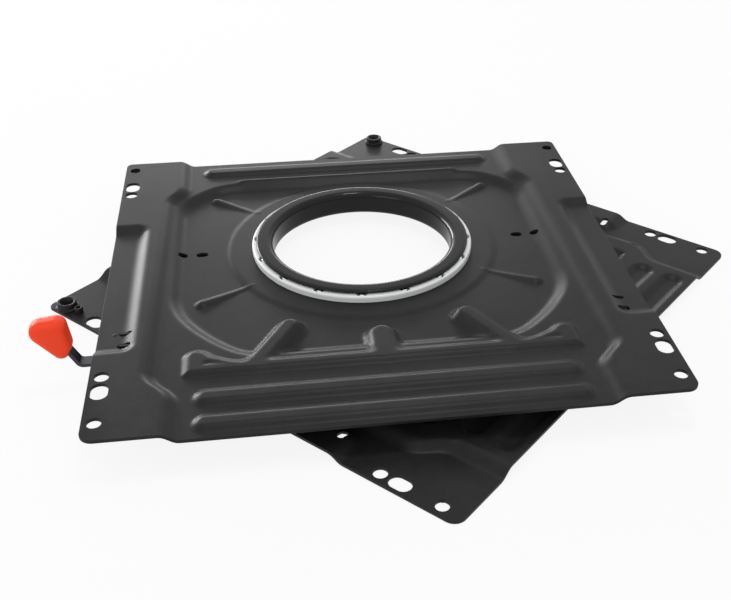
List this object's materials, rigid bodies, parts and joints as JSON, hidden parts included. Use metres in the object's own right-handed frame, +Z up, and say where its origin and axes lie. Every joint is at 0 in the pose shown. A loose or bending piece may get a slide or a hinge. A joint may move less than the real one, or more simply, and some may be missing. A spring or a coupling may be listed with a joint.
{
  "type": "swivel seat base",
  "caption": "Two pressed steel plates, one upside down and turned, that swivel about a ball bearing with an open centre; a spring lever locks them.",
  "frame": {"origin": "on the swivel axis, midway between the upper and the lower mounting faces", "axes": "+Z up along the swivel axis, +X across the seat to its right, +Y to the back edge of the upper plate"},
  "size_m": [0.5321, 0.5321, 0.0533],
  "materials": {
    "plate_steel": "satin black coating",
    "collar_steel": "gloss black coating",
    "white_plastic": "smooth white",
    "ball_steel": "polished",
    "lever_steel": "zinc plated",
    "grip_plastic": "orange-red, dipped"
  },
  "bodies": {
    "lower": {"lower_plate": "plate_steel", "lower_nut_left": "plate_steel", "lower_nut_right": "plate_steel", "lower_stud": "plate_steel", "collar": "collar_steel"},
    "upper": {"upper_plate": "plate_steel", "upper_nut_left": "plate_steel", "upper_nut_right": "plate_steel", "lever_bracket": "plate_steel", "bracket_rivet": "plate_steel", "lever_pin": "lever_steel", "lever_pin_clip": "lever_steel", "lever_spring": "lever_steel"},
    "lever": {"lever_arm": "lever_steel", "latch": "lever_steel", "latch_rivets": "lever_steel", "lever_grip": "grip_plastic"},
    "upper_cage": {"upper_ball_cage": "white_plastic", "upper_balls": "ball_steel"},
    "lower_cage": {"lower_ball_cage": "white_plastic", "lower_balls": "ball_steel"}
  },
  "joints": [
    {"name": "swivel", "type": "hinge", "parent": "lower", "child": "upper", "pos_m": [0, 0, 0], "axis": [0, 0, 1], "range_deg": [-135, 45]},
    {"name": "lever_pivot", "type": "hinge", "parent": "upper", "child": "lever", "pos_m": [-0.16, -0.1295, 0.00365], "axis": [0, -1, 0], "range_deg": [0, 14]},
    {"name": "upper_cage_roll", "type": "hinge", "parent": "lower", "child": "upper_cage", "pos_m": [0, 0, 0], "axis": [0, 0, 1], "range_deg": [-67.5, 22.5]},
    {"name": "lower_cage_roll", "type": "hinge", "parent": "lower", "child": "lower_cage", "pos_m": [0, 0, 0], "axis": [0, 0, 1], "range_deg": [-67.5, 22.5]}
  ],
  "couplings": [
    {"joint": "upper_cage_roll", "follows": "swivel", "ratio": 0.5},
    {"joint": "lower_cage_roll", "follows": "swivel", "ratio": 0.5}
  ]
}
